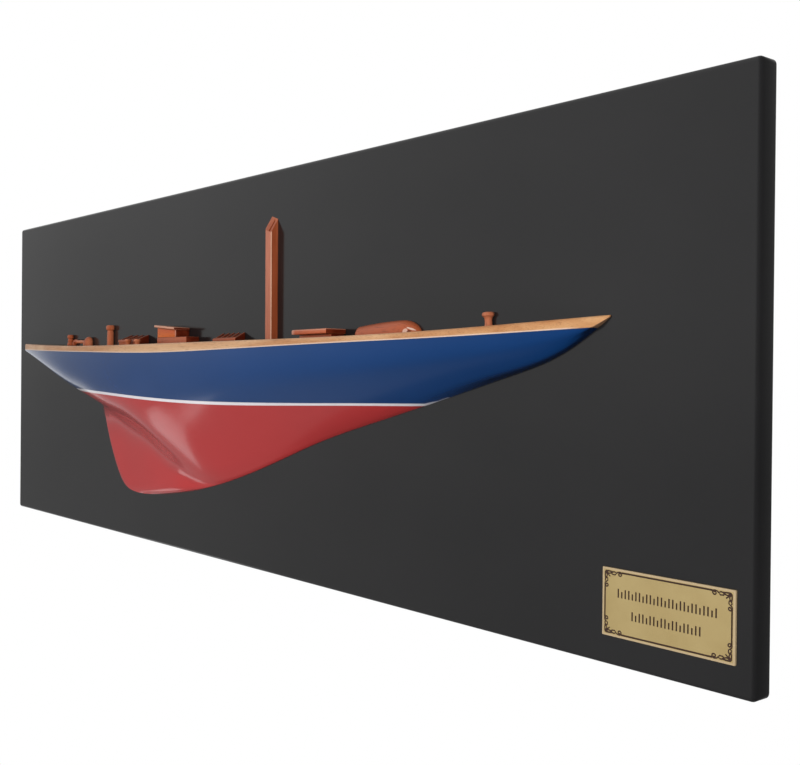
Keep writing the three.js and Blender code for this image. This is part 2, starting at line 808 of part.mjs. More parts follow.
// The spindle fills the room between the aft post and the drum, on two small feet.
function buildSpindle() {
  const beads = [
    [-0.5, 0.7],
    [-0.42, 1],
    [-0.3, 1],
    [-0.24, 0.72],
    [0.24, 0.72],
    [0.3, 1],
    [0.42, 1],
    [0.5, 0.7],
  ];
  const steps = 10;
  const barrel = loft(beads.map(([share, size]) => {
    const ring = [];
    for (let i = 0; i <= steps; i++) {
      const angle = i / steps * Math.PI;
      const radius = size * spindleRadius;
      const z = spindleHeight + radius * Math.cos(angle);
      ring.push([share * spindleLength, -radius * Math.sin(angle), z]);
    }
    return ring;
  }));
  let solid = toSolid(barrel);
  for (const share of [-0.36, 0.36]) {
    const foot = block([
      [share * spindleLength - spindleFootWidth / 2, 0],
      [share * spindleLength + spindleFootWidth / 2, 0],
      [share * spindleLength + spindleFootWidth / 2, spindleHeight],
      [share * spindleLength - spindleFootWidth / 2, spindleHeight],
    ], spindleRadius * 0.8);
    solid = solid.add(toSolid(foot));
  }
  const spindle = addPiece('steering_spindle', fromSolid(solid), redWood);
  seatOnDeck(spindle, spindleFromBow, spindleLength / 2);
}

// Each bitt is a whole turned post, standing clear of the board in front of the skylight's fore half.
function buildBitts() {
  const outline = [
    [0, 0],
    [bittRadius, 0],
    [bittRadius, bittHeight * 0.55],
    [bittCapRadius, bittHeight * 0.68],
    [bittCapRadius, bittHeight * 0.86],
    [bittCapRadius * 0.6, bittHeight],
    [0, bittHeight],
  ].map(([radius, z]) => new THREE.Vector2(radius, z));
  const offBoard = aftSkylightDepth + eaveRailOverhang + bittClearance + bittCapRadius;
  ['aft', 'fore'].forEach((end, i) => {
    const turned = new THREE.LatheGeometry(outline, 16);
    turned.rotateX(Math.PI / 2);
    const mesh = addPiece(`bitt_${end}`, turned, redWood);
    seatOnDeck(mesh, aftSkylightFromBow - bittLead - i * bittSpacing, bittCapRadius);
    mesh.position.y = boardFace - offBoard;
  });
}

// The plaque carries an engraved border and two rows of strokes in place of an inscription.
function buildPlaque() {
  const centreX = boardLength / 2 - plaqueEndMargin - plaqueLength / 2;
  const centreZ = -boardHeight / 2 + plaqueLowerMargin + plaqueHeight / 2;
  const front = -plaqueThickness;
  let solid = toSolid(plate(plaqueLength, plaqueHeight, 0, front, plaqueCornerRadius, 0.2, 2));
  const groove = (x, z, width, height) => {
    const cut = new THREE.BoxGeometry(width, 2 * engravingDepth, height);
    cut.translate(x, front, z);
    return toSolid(cut);
  };
  const borderLength = plaqueLength - 2 * borderEndGap;
  const borderHeight = plaqueHeight - 2 * borderSideGap;
  for (const side of [-1, 1]) {
    const z = side * (plaqueHeight / 2 - borderInset);
    const x = side * (plaqueLength / 2 - borderInset);
    solid = solid.subtract(groove(0, z, borderLength, borderWidth));
    solid = solid.subtract(groove(x, 0, borderWidth, borderHeight));
  }
  const pitch = 2.5 * strokeWidth;
  [upperRowLength, lowerRowLength].forEach((rowLength, row) => {
    const z = (0.5 - row) * rowSpacing;
    const count = Math.floor(rowLength / pitch);
    for (let i = 0; i < count; i++) {
      const height = strokeHeight * (i % 3 === 1 ? 0.7 : 1);
      const x = (i - (count - 1) / 2) * pitch;
      solid = solid.subtract(groove(x, z - (strokeHeight - height) / 2, strokeWidth, height));
    }
  });
  const mesh = addPiece('plaque', fromSolid(solid), brass);
  mesh.position.set(centreX, boardFace, centreZ);
}

buildBackboard();
buildHull();
buildDeck();
buildMastStub();
buildDeckhouse();
buildSkylight(
  'aft_skylight', aftSkylightFromBow, halfAftSkylight, aftSkylightDepth,
  aftSkylightEaveHeight, aftSkylightRidgeHeight, 4,
);
buildSkylight(
  'fore_skylight', foreSkylightFromBow, halfForeSkylight, foreSkylightDepth,
  foreSkylightEaveHeight, foreSkylightRidgeHeight, 5,
);
buildHatch();
buildDinghy();
buildPosts();
buildSteeringDrum();
buildSpindle();
buildBitts();
buildPlaque();

export default group;
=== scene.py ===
import json
import math

import bmesh
import bpy
from mathutils import Matrix, Vector

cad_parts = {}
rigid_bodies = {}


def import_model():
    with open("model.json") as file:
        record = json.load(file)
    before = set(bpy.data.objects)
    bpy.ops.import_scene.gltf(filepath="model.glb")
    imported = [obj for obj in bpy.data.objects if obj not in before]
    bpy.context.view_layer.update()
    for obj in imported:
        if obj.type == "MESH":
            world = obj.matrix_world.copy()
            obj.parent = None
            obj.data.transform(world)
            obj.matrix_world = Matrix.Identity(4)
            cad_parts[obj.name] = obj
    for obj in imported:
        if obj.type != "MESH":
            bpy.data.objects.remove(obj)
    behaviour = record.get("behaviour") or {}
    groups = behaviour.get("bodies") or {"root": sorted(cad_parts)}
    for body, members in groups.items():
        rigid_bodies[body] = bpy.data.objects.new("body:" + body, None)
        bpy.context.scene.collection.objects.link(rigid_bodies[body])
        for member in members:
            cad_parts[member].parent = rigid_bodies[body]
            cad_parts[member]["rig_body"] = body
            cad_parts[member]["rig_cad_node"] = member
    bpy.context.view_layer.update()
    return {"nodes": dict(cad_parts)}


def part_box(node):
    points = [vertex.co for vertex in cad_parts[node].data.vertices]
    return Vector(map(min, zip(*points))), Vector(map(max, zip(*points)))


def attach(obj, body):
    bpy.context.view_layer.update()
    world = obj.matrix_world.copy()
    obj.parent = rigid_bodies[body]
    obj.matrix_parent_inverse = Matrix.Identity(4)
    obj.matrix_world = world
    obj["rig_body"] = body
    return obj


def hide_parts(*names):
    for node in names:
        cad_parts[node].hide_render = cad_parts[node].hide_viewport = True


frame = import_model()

# The room: a camera past the bow end that looks aft along the board, a pale floor well below the plaque, and
# a tent of light that is brightest past the stern. A large soft lamp and a low one stand off the bow, and a
# small panel stands low past the stern, where the hull's paint mirrors it.
camera_data = bpy.data.cameras.new("camera")
camera_data.sensor_width = 36
camera_data.lens = 49.58
camera_data.shift_y = -0.0089
camera_data.clip_start = 0.01
camera = bpy.data.objects.new("camera", camera_data)
bpy.context.scene.collection.objects.link(camera)
bpy.context.scene.camera = camera
camera_place = Vector((0.7328, -0.4646, 0.0034))
aim = Vector((-0.76659, 0.64212, -0.0061))
level = Vector((0.64213, 0.76660, 0.0))
tilt = 0.0096
sideways = (level - tilt * aim.cross(level)).normalized()
upwards = sideways.cross(aim).normalized()
camera.matrix_world = Matrix((
    (sideways.x, upwards.x, -aim.x, camera_place.x),
    (sideways.y, upwards.y, -aim.y, camera_place.y),
    (sideways.z, upwards.z, -aim.z, camera_place.z),
    (0, 0, 0, 1),
))
bpy.context.scene.view_settings.view_transform = "Standard"


class Signal:
    """One output of a finish's nodes. Arithmetic on it adds Math nodes."""

    def __init__(self, finish, socket):
        self.finish = finish
        self.socket = socket

    def maths(self, operation, *values, clamp=False):
        """The output of a new Math node over these values."""
        settings = {"operation": operation, "use_clamp": clamp}
        return self.finish.node("ShaderNodeMath", settings, dict(enumerate(values)))

    def __add__(self, other):
        return self.maths("ADD", self, other)

    __radd__ = __add__

    def __sub__(self, other):
        return self.maths("SUBTRACT", self, other)

    def __rsub__(self, other):
        return self.maths("SUBTRACT", other, self)

    def __mul__(self, other):
        return self.maths("MULTIPLY", self, other)

    __rmul__ = __mul__

    def __truediv__(self, other):
        return self.maths("DIVIDE", self, other)

    def __pow__(self, other):
        return self.maths("POWER", self, other)

    def __abs__(self):
        return self.maths("ABSOLUTE", self)

    def larger(self, other):
        """The larger of this and another at each point."""
        return self.maths("MAXIMUM", self, other)

    def step_at(self, place, softness):
        """0 below the place, 1 above it, with a soft change between."""
        return self.maths("MULTIPLY_ADD", self - place, 1 / softness, 0.5, clamp=True)


class Finish:
    """A material: one method adds its nodes, and another feeds its shader with what varies."""

    def __init__(self, name):
        self.material = bpy.data.materials.new(name)
        self.material.use_nodes = True
        self.tree = self.material.node_tree
        self.shader = self.tree.nodes["Principled BSDF"]
        self.place = self.node("ShaderNodeTexCoord", {}, {}, "Object")
        apart = self.node("ShaderNodeSeparateXYZ", {}, {0: self.place}, None)
        self.x, self.y, self.z = (Signal(self, apart.outputs[i]) for i in range(3))

    def node(self, kind, settings, inputs, output=0):
        """A new node's output, or the node itself where output is None."""
        made = self.tree.nodes.new(kind)
        for key, value in settings.items():
            setattr(made, key, value)
        for key, value in inputs.items():
            if isinstance(value, Signal):
                self.tree.links.new(value.socket, made.inputs[key])
            else:
                made.inputs[key].default_value = value
        return made if output is None else Signal(self, made.outputs[output])

    def colours(self, share, first, second):
        """A mix of two colours by a share from 0 to 1."""
        first = (*first, 1) if isinstance(first, tuple) else first
        second = (*second, 1) if isinstance(second, tuple) else second
        return self.node("ShaderNodeMix", {"data_type": "RGBA"}, {0: share, 6: first, 7: second}, 2)

    def noise(self, stretch, detail=4, roughness=0.55, shift=(0, 0, 0)):
        """Noise from 0 to 1, stretch being its number of changes in a metre along X, Y and Z."""
        mapping = {"Vector": self.place, "Scale": stretch, "Location": shift}
        spread = self.node("ShaderNodeMapping", {}, mapping)
        inputs = {"Vector": spread, "Scale": 1, "Detail": detail, "Roughness": roughness}
        return self.node("ShaderNodeTexNoise", {}, inputs)

    def paint(self, colour, roughness, height, depth):
        """Connects what varies over the surface: its colour, its roughness, and a relief of this depth."""
        relief = self.node("ShaderNodeBump", {}, {"Height": height, "Distance": depth})
        for name, signal in (("Base Color", colour), ("Roughness", roughness), ("Normal", relief)):
            self.tree.links.new(signal.socket, self.shader.inputs[name])


def pick_up(*pieces):
    """Only these pieces are selected, the first of them active."""
    bpy.ops.object.select_all(action="DESELECT")
    for piece in pieces:
        piece.select_set(True)
    bpy.context.view_layer.objects.active = pieces[0]


def lay_down(piece, name, slot, finishes, *nodes):
    """The finished piece gets its name and finishes, and stands for its CAD nodes on the one body."""
    pick_up(piece)
    bpy.ops.object.transform_apply(location=True, rotation=True, scale=True)
    piece.name = name
    piece.data.name = name
    for finish in finishes:
        piece.data.materials.append(finish.material)
    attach(piece, "root")
    if nodes:
        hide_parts(*nodes)


floor_width = 3.8
floor_level = -1.3
bpy.ops.mesh.primitive_plane_add(size=floor_width, location=(0, 0, floor_level))
floor = bpy.context.object
floor.name = "floor"
floor_finish = Finish("pale_floor")
floor_finish.shader.inputs["Base Color"].default_value = (0.85, 0.85, 0.85, 1)
floor_finish.shader.inputs["Roughness"].default_value = 0.8
floor.data.materials.append(floor_finish.material)
floor.visible_glossy = False

tent = bpy.context.scene.world or bpy.data.worlds.new("tent")
bpy.context.scene.world = tent
tent.use_nodes = True
tent_nodes = tent.node_tree.nodes
tent_links = tent.node_tree.links
way = tent_nodes.new("ShaderNodeTexCoord").outputs["Generated"]
way_parts = tent_nodes.new("ShaderNodeSeparateXYZ")
tent_links.new(way, way_parts.inputs[0])


def tent_ramp(signal, stops):
    """A grey level by steps along a signal that runs from -1 to 1."""
    share = tent_nodes.new("ShaderNodeMapRange")
    share.inputs["From Min"].default_value = -1
    share.inputs["From Max"].default_value = 1
    tent_links.new(signal, share.inputs["Value"])
    ramp = tent_nodes.new("ShaderNodeValToRGB")
    for extra in range(len(stops) - 2):
        ramp.color_ramp.elements.new(0.5)
    for element, (place, light) in zip(ramp.color_ramp.elements, stops):
        element.position = (place + 1) / 2
        element.color = (light, light, light, 1)
    tent_links.new(share.outputs["Result"], ramp.inputs["Fac"])
    return ramp.outputs["Color"]


def nearness_to(direction):
    """1 on the tent in this direction, falling to -1 in the opposite one."""
    nearness = tent_nodes.new("ShaderNodeVectorMath")
    nearness.operation = "DOT_PRODUCT"
    nearness.inputs[1].default_value = direction
    tent_links.new(way, nearness.inputs[0])
    return nearness.outputs["Value"]


# Seen from the model the tent is brightest past the stern, dim behind the camera and dark below. A narrow
# bright panel stands past the stern on the board's side. The camera itself sees only plain white.
past_stern = (-0.985, -0.17, 0)
panel_side = (-0.93, 0.36, -0.08)
side_stops = [
    (-1, 0.12), (-0.3, 0.16), (0.2, 0.4), (0.65, 0.72), (0.87, 0.68), (0.94, 0.58), (0.975, 0.42), (1, 0.36),
]
height_stops = [(-1, 0.25), (-0.7, 0.36), (-0.45, 0.47), (-0.17, 0.64), (-0.05, 0.78), (0.04, 0.95), (1, 1)]
panel_stops = [(-1, 0), (0.88, 0), (0.94, 0.52), (0.972, 0.9), (1, 1)]
by_side = tent_ramp(nearness_to(past_stern), side_stops)
by_height = tent_ramp(way_parts.outputs["Z"], height_stops)
panel = tent_ramp(nearness_to(panel_side), panel_stops)


def tent_mix(kind, first, second):
    """Two grey levels blended in full."""
    blend = tent_nodes.new("ShaderNodeMix")
    blend.data_type = "RGBA"
    blend.blend_type = kind
    blend.inputs[0].default_value = 1
    tent_links.new(first, blend.inputs[6])
    tent_links.new(second, blend.inputs[7])
    return blend.outputs[2]


room = tent_mix("LIGHTEN", tent_mix("MULTIPLY", by_side, by_height), panel)
tent_links.new(room, tent_nodes["Background"].inputs["Color"])
plain_white = tent_nodes.new("ShaderNodeBackground")
plain_white.inputs["Color"].default_value = (1, 1, 1, 1)
seen = tent_nodes.new("ShaderNodeMixShader")
tent_links.new(tent_nodes.new("ShaderNodeLightPath").outputs["Is Camera Ray"], seen.inputs["Fac"])
tent_links.new(tent_nodes["Background"].outputs[0], seen.inputs[1])
tent_links.new(plain_white.outputs[0], seen.inputs[2])
tent_links.new(seen.outputs[0], tent_nodes["World Output"].inputs["Surface"])


def soft_lamp(name, place, size, power, mirrored=False):
    """A square soft lamp turned to the middle of the board. Glossy coats show it only if mirrored."""
    data = bpy.data.lights.new(name, "AREA")
    data.size = size
    data.energy = power
    made = bpy.data.objects.new(name, data)
    bpy.context.scene.collection.objects.link(made)
    made.location = place
    made.rotation_mode = "QUATERNION"
    made.rotation_quaternion = (-made.location).to_track_quat("-Z", "Y")
    made.visible_glossy = mirrored
    made.visible_camera = False


soft_lamp("front_lamp", (3.1, -3.9, 0.5), 2.0, 200)
soft_lamp("low_lamp", (1.5, -1.8, -1.15), 0.8, 12)
soft_lamp("aft_panel", (-1.07, -0.205, -0.69), 0.24, 0.16, mirrored=True)

# Backboard: one flat wooden board, sprayed black and rubbed to a satin gloss. Its front edges and corners are
# rounded over, and its plain back lies on the wall.
low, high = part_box("backboard")
bpy.ops.mesh.primitive_cube_add(size=1, location=(low + high) / 2, scale=high - low)
board = bpy.context.object
pick_up(board)
bpy.ops.object.transform_apply(location=True, rotation=True, scale=True)
face_of_board = low.y


def choose(piece, kind, wanted):
    """In edit mode, selects the faces or edges whose middle and direction pass the test."""
    bpy.ops.mesh.select_mode(type=kind)
    bpy.ops.mesh.select_all(action="DESELECT")
    shape = bmesh.from_edit_mesh(piece.data)
    shape.normal_update()
    if kind == "FACE":
        for face in shape.faces:
            face.select_set(wanted(face.calc_center_median(), face.normal))
    else:
        for edge in shape.edges:
            first, second = (corner.co for corner in edge.verts)
            edge.select_set(wanted((first + second) / 2, (second - first).normalized()))
    bmesh.update_edit_mesh(piece.data)


corner_rounding = 0.003
front_rounding = 0.0025
back_easing = 0.0004
hair = 1e-5
bpy.ops.object.mode_set(mode="EDIT")
choose(board, "EDGE", lambda middle, way: abs(way.y) > 0.9)
bpy.ops.mesh.bevel(offset=corner_rounding, segments=5, affect="EDGES")
choose(board, "EDGE", lambda middle, way: middle.y < low.y + hair and abs(way.y) < 0.1)
bpy.ops.mesh.bevel(offset=front_rounding, segments=6, affect="EDGES")
choose(board, "EDGE", lambda middle, way: middle.y > high.y - hair and abs(way.y) < 0.1)
bpy.ops.mesh.bevel(offset=back_easing, segments=2, affect="EDGES")
bpy.ops.object.mode_set(mode="OBJECT")
bpy.ops.object.shade_smooth_by_angle(angle=math.radians(40))

lacquer = Finish("black_satin_lacquer")
cloudiness = lacquer.noise((9, 9, 14), 5)
rubbing = lacquer.noise((60, 900, 700), 3)
speckle = lacquer.noise((1900, 1900, 1900), 2)
lacquer_colour = lacquer.colours(cloudiness, (0.008, 0.008, 0.0085), (0.014, 0.0135, 0.014))
lacquer_gloss = 0.11 + 0.06 * cloudiness + 0.03 * rubbing
lacquer.paint(lacquer_colour, lacquer_gloss, 0.7 * rubbing + 0.3 * speckle, 0.00002)
lay_down(board, "board", "board_lacquer", [lacquer], "backboard")

# Hull: the half hull carved from one block of wood, filled, sprayed and polished. It is navy blue above a
# white waterline and red below it, and it is screwed to the board from behind.


def blank_from(node, join=30):
    """A workable copy of a CAD solid: its triangles joined, and paired into four-sided faces."""
    bpy.ops.object.select_all(action="DESELECT")
    solid = frame["nodes"][node]
    blank = solid.copy()
    blank.data = solid.data.copy()
    blank.data.materials.clear()
    blank.parent = None
    blank.hide_render = False
    blank.hide_viewport = False
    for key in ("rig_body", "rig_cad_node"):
        del blank[key]
    bpy.context.scene.collection.objects.link(blank)
    pick_up(blank)
    bpy.ops.object.mode_set(mode="EDIT")
    bpy.ops.mesh.select_all(action="SELECT")
    bpy.ops.mesh.remove_doubles(threshold=1e-6)
    bpy.ops.mesh.tris_convert_to_quads(face_threshold=math.radians(join), shape_threshold=math.radians(60))
    bpy.ops.object.mode_set(mode="OBJECT")
    return blank


def rounded(piece, sharp):
    """Keeps the edges sharper than an angle in degrees, and rounds the rest by subdivision."""
    pick_up(piece)
    bpy.ops.object.mode_set(mode="EDIT")
    bpy.ops.mesh.select_mode(type="EDGE")
    bpy.ops.mesh.select_all(action="DESELECT")
    bpy.ops.mesh.edges_select_sharp(sharpness=math.radians(sharp))
    bpy.ops.transform.edge_crease(value=1)
    bpy.ops.object.mode_set(mode="OBJECT")
    rounding = piece.modifiers.new("rounding", "SUBSURF")
    rounding.levels = 2
    rounding.render_levels = 2
    bpy.ops.object.modifier_apply(modifier="rounding")
    bpy.ops.object.shade_smooth_by_angle(angle=math.radians(42))


hull = blank_from("hull")
rounded(hull, 48)

topsides = Finish("hull_paint")
# The waterline sags a little: it is lowest at lowest_x, and 4.6 mm higher at the ends.
line_height = -0.0179
line_sag = 0.0046
lowest_x = 0.03
sag_reach = 0.14
from_lowest = ((topsides.x - lowest_x) / sag_reach) ** 2
water_level = line_height - line_sag * from_lowest.maths("EXPONENT", -1 * from_lowest)
# Towards the bow the white line is a little thinner and lower.
forward = topsides.x.step_at(0.1, 0.08)
# Its end climbs a little way along the stem as a hair line. Past climb_end the level drops below the hull,
# and all is blue.
climb_start = 0.2215
climb_end = 0.2405
climb_slope = 0.25
climb = climb_slope * (topsides.x - climb_start).larger(0)
drop = 0.03 * topsides.x.step_at(climb_end, 0.001)
water_level = water_level - 0.00032 * forward + climb - drop
half_width = 0.0011 - 0.0003 * forward - 0.0005 * topsides.x.step_at(0.227, 0.008)
softness = 0.0003
above_water = topsides.z - water_level
is_blue = above_water.step_at(half_width, softness)
is_red = 1 - above_water.step_at(-1 * half_width, softness)
cloud = topsides.noise((14, 14, 22), 4)
streak = topsides.noise((22, 200, 260), 3)
fleck = topsides.noise((2600, 2600, 2600), 2)
blue = topsides.colours(cloud, (0.0042, 0.038, 0.142), (0.0065, 0.046, 0.170))
deep_blue = topsides.colours(cloud, (0.0012, 0.029, 0.118), (0.0025, 0.035, 0.140))
blue = topsides.colours(topsides.x.step_at(0.24, 0.26), blue, deep_blue)
red = topsides.colours(cloud, (0.42, 0.026, 0.027), (0.48, 0.036, 0.036))
white = topsides.colours(streak, (0.74, 0.70, 0.73), (0.84, 0.80, 0.84))
coat = topsides.colours(is_blue, topsides.colours(is_red, white, red), blue)
# Under the bow, where the hull turns in to the board, the colour is painted nearly black: a painted
# reflection of the dark board.
facing = topsides.node("ShaderNodeNewGeometry", {}, {}, "Normal")
towards_board = topsides.node("ShaderNodeSeparateXYZ", {}, {0: facing}, 1)
painted_board_reflection = towards_board.step_at(-0.37, 0.16) * topsides.x.step_at(0.25, 0.06)
coat = topsides.colours(painted_board_reflection * 0.9, coat, (0.001, 0.004, 0.016))
topsides.paint(coat, 0.09 + 0.05 * cloud + 0.04 * streak, 0.6 * streak + 0.4 * fleck, 0.00002)
lay_down(hull, "painted_hull", "hull_paint", [topsides], "hull")

# Deck: a layer of pale, straight-grained wood glued on top of the hull, its edge left bare and varnished.
# A thin pale line along its lower edge is a painted highlight. The dark line at the seam below it is a dark
# joint, deepened by painted shadow.
deck = blank_from("deck")
deck_low = {}
for corner in deck.data.vertices:
    station = round(corner.co.x, 4)
    deck_low[station] = min(deck_low.get(station, 1), corner.co.z)
stations = sorted(deck_low)
rounded(deck, 20)
edge_height = deck.data.attributes.new("edge_height", "FLOAT", "POINT")
for corner in deck.data.vertices:
    after = next((s for s in stations if s >= corner.co.x), stations[-1])
    before = next((s for s in reversed(stations) if s <= corner.co.x), stations[0])
    part = 0 if after == before else (corner.co.x - before) / (after - before)
    bottom = deck_low[before] + part * (deck_low[after] - deck_low[before])
    edge_height.data[corner.index].value = corner.co.z - bottom


grain_depth = 0.00005


def varnished(name, dark, middle, light, stretch, pores, roughness):
    """Straight-grained wood under varnish. stretch is how often the grain changes in a metre on each axis."""
    wood = Finish(name)
    figure = wood.noise(tuple(0.14 * s for s in stretch), 3, 0.5, (3.1, 1.7, 0.4))
    grain = wood.noise(stretch, 5, 0.62)
    pore = wood.noise(pores, 2, 0.5)
    bands = (grain * 0.6 + figure * 0.4).step_at(0.5, 0.4)
    tone = wood.colours(bands, dark, middle)
    tone = wood.colours(figure.step_at(0.55, 0.25) * 0.8, tone, light)
    tone = wood.colours(pore.step_at(0.62, 0.12) * 0.5, tone, tuple(0.5 * c for c in dark))
    # Where ambient occlusion finds corners and creases, the tone is darkened: painted shade.
    corner = wood.node("ShaderNodeAmbientOcclusion", {"samples": 8}, {"Distance": 0.0022}, "AO")
    wood.tone = wood.colours((1 - corner.step_at(0.55, 0.5)) * 0.8, tone, tuple(0.18 * c for c in dark))
    wood.grain = grain
    wood.relief = 0.6 * grain + 0.4 * pore
    wood.gloss = roughness + 0.12 * grain
    wood.paint(wood.tone, wood.gloss, wood.relief, grain_depth)
    return wood


deck_wood = varnished(
    "pale_deck_wood",
    (0.40, 0.17, 0.066), (0.56, 0.29, 0.135), (0.66, 0.42, 0.24),
    (26, 560, 560), (90, 2600, 2600), 0.32,
)
height = deck_wood.node("ShaderNodeAttribute", {"attribute_name": "edge_height"}, {}, "Fac")
# The painted highlight stops short of the tip, and the edge is painted warmer and darker towards the bow, a
# painted stand-in for the paler reflection at the stern end.
highlight_top = 0.0007
seam_top = 0.00018
painted_edge_highlight = (1 - height.step_at(highlight_top, 0.0005)) * 0.75 * (1 - deck_wood.x.step_at(0.345, 0.008))
# The dark seam line is a joint, deepened by painted shadow.
seam_joint_and_shadow = 1 - height.step_at(seam_top, 0.0001)
painted_bow_warmth = deck_wood.node("ShaderNodeVectorMath", {"operation": "MULTIPLY"},
                      {0: deck_wood.tone, 1: (0.95, 0.82, 0.62)}, "Vector")
edge_tone = deck_wood.colours(deck_wood.x.step_at(0.26, 0.12) * 0.7, deck_wood.tone, painted_bow_warmth)
edge_tone = deck_wood.colours(painted_edge_highlight, edge_tone, (0.78, 0.62, 0.52))
edge_tone = deck_wood.colours(seam_joint_and_shadow * 0.7, edge_tone, (0.05, 0.03, 0.03))
deck_wood.paint(edge_tone, deck_wood.gloss, deck_wood.relief, grain_depth)
lay_down(deck, "wooden_deck", "pale_wood", [deck_wood], "deck")

# Mast stub: a squared spar of red-brown wood, cut off on the slant above the deck and glued to the board.
# Its front arrises are planed off and painted pale as a painted highlight, its flat front face is painted
# paler as a painted sheen, and it has split a little at the top.
spar_wood = varnished(
    "red_spar_wood",
    (0.28, 0.058, 0.018), (0.43, 0.105, 0.042), (0.52, 0.16, 0.070),
    (620, 620, 22), (2400, 2400, 60), 0.30,
)
arris_highlight_wood = varnished(
    "arris_painted_highlight",
    (0.56, 0.30, 0.20), (0.68, 0.42, 0.31), (0.76, 0.54, 0.43),
    (620, 620, 40), (2400, 2400, 90), 0.4,
)
front_sheen_wood = varnished(
    "front_painted_sheen",
    (0.42, 0.13, 0.070), (0.56, 0.20, 0.125), (0.64, 0.27, 0.18),
    (620, 620, 22), (2400, 2400, 60), 0.36,
)
mast = blank_from("mast_stub")
mast_low, mast_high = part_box("mast_stub")
bpy.ops.object.mode_set(mode="EDIT")
# The planed arrises get the pale painted highlight, the flat front faces the painted sheen, the rest plain
# wood.
choose(mast, "FACE", lambda middle, way: way.y < -0.3 and abs(way.x) > 0.3 and way.z < 0.5)
shape = bmesh.from_edit_mesh(mast.data)
for face in shape.faces:
    face.material_index = 1 if face.select else 2 if face.normal.y < -0.95 else 0
bmesh.update_edit_mesh(mast.data)
# The split runs down from the slanted end, close behind the fore arris.
split_x = mast_high.x - 0.0035
split_half_width = 0.0008
split_depth = 0.009
split_front = mast_low.y + 0.0002
split_back = mast_low.y + 0.0058
for place, way in (
    ((split_x - split_half_width, 0, 0), (1, 0, 0)),
    ((split_x + split_half_width, 0, 0), (1, 0, 0)),
    ((0, split_front, 0), (0, 1, 0)),
    ((0, split_back, 0), (0, 1, 0)),
):
    bpy.ops.mesh.select_all(action="SELECT")
    bpy.ops.mesh.bisect(plane_co=place, plane_no=way)
choose(mast, "FACE", lambda middle, way: way.z > 0.3 and abs(middle.x - split_x) < split_half_width
       and split_front < middle.y < split_back)
bpy.ops.mesh.extrude_region_move(TRANSFORM_OT_translate={"value": (0, 0, -split_depth)})
bpy.ops.object.mode_set(mode="OBJECT")


def rubbed(piece, width, angle=25):
    """Every edge sharper than an angle is rubbed round."""
    pick_up(piece)
    rub = piece.modifiers.new("rub", "BEVEL")
    rub.width = width
    rub.segments = 3
    rub.limit_method = "ANGLE"
    rub.angle_limit = math.radians(angle)
    bpy.ops.object.modifier_apply(modifier="rub")
    bpy.ops.object.shade_smooth_by_angle(angle=math.radians(35))


rubbed(mast, 0.00012)
lay_down(mast, "mast", "red_wood", [spar_wood, arris_highlight_wood, front_sheen_wood], "mast_stub")

# Deckhouse: a long low coaming, a small house on its after part with a slim post at its fore corner, and a
# thin overhanging roof, all of the same red-brown wood, sanded and glued.

# How often the grain and the pores change in a metre, where the wood lies along the hull.
grain_along = (40, 620, 620)
pores_along = (150, 2600, 2600)
joinery_wood = varnished(
    "red_joinery_wood",
    (0.24, 0.044, 0.013), (0.37, 0.074, 0.025), (0.47, 0.13, 0.052),
    grain_along, pores_along, 0.30,
)
wall_wood = varnished(
    "orange_wall_wood",
    (0.48, 0.075, 0.008), (0.68, 0.125, 0.014), (0.80, 0.20, 0.035),
    grain_along, pores_along, 0.30,
)
# The end grain of the faces towards the bow drinks the stain and goes dark, and it is darkened further as
# painted shade.
end_grain_and_shade = varnished(
    "end_grain_and_painted_shade",
    (0.075, 0.008, 0.0025), (0.14, 0.016, 0.005), (0.20, 0.030, 0.010),
    (300, 700, 1500), (2600, 2600, 2600), 0.26,
)


def whole_faced(node):
    """A copy of a CAD block with its flat faces made whole."""
    piece = blank_from(node)
    bpy.ops.object.mode_set(mode="EDIT")
    bpy.ops.mesh.select_all(action="SELECT")
    bpy.ops.mesh.dissolve_limited(angle_limit=math.radians(1))
    bpy.ops.object.mode_set(mode="OBJECT")
    return piece


def end_faces(piece, finish_number=1):
    """The faces that look towards the bow are end grain, which drinks the stain and goes dark, darkened
    further as painted shade.
    """
    for face in piece.data.polygons:
        if face.normal.x > 0.85:
            face.material_index = finish_number


base = whole_faced("deckhouse_coaming")
rubbed(base, 0.00035)
end_faces(base)
lay_down(base, "house_base", "red_wood", [joinery_wood, end_grain_and_shade], "deckhouse_coaming")

walls = whole_faced("deckhouse")
# The corner post is a narrow band of the front wall, drawn out a little.
walls_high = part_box("deckhouse")[1]
post_width = 0.002
post_side = walls_high.x - post_width
post_lift = 0.0003
bpy.ops.object.mode_set(mode="EDIT")
bpy.ops.mesh.select_all(action="SELECT")
bpy.ops.mesh.bisect(plane_co=(post_side, 0, 0), plane_no=(1, 0, 0))
choose(walls, "FACE", lambda middle, way: way.y < -0.9 and middle.x > post_side)
bpy.ops.mesh.extrude_region_move(TRANSFORM_OT_translate={"value": (0, -post_lift, 0)})
bpy.ops.object.mode_set(mode="OBJECT")
rubbed(walls, 0.0001)
end_faces(walls)
# The corner post's front gets the same paler painted sheen as the mast's front.
for face in walls.data.polygons:
    if face.normal.y < -0.5 and face.center.x > post_side:
        face.material_index = 2
lay_down(walls, "house_walls", "red_wood", [wall_wood, end_grain_and_shade, front_sheen_wood], "deckhouse")

roof_wood = varnished(
    "light_roof_wood",
    (0.46, 0.18, 0.10), (0.62, 0.29, 0.18), (0.70, 0.38, 0.26),
    grain_along, pores_along, 0.28,
)
roof = whole_faced("deckhouse_roof")
rubbed(roof, 0.0005)
end_faces(roof)
lay_down(roof, "house_roof", "red_wood", [roof_wood, end_grain_and_shade], "deckhouse_roof")

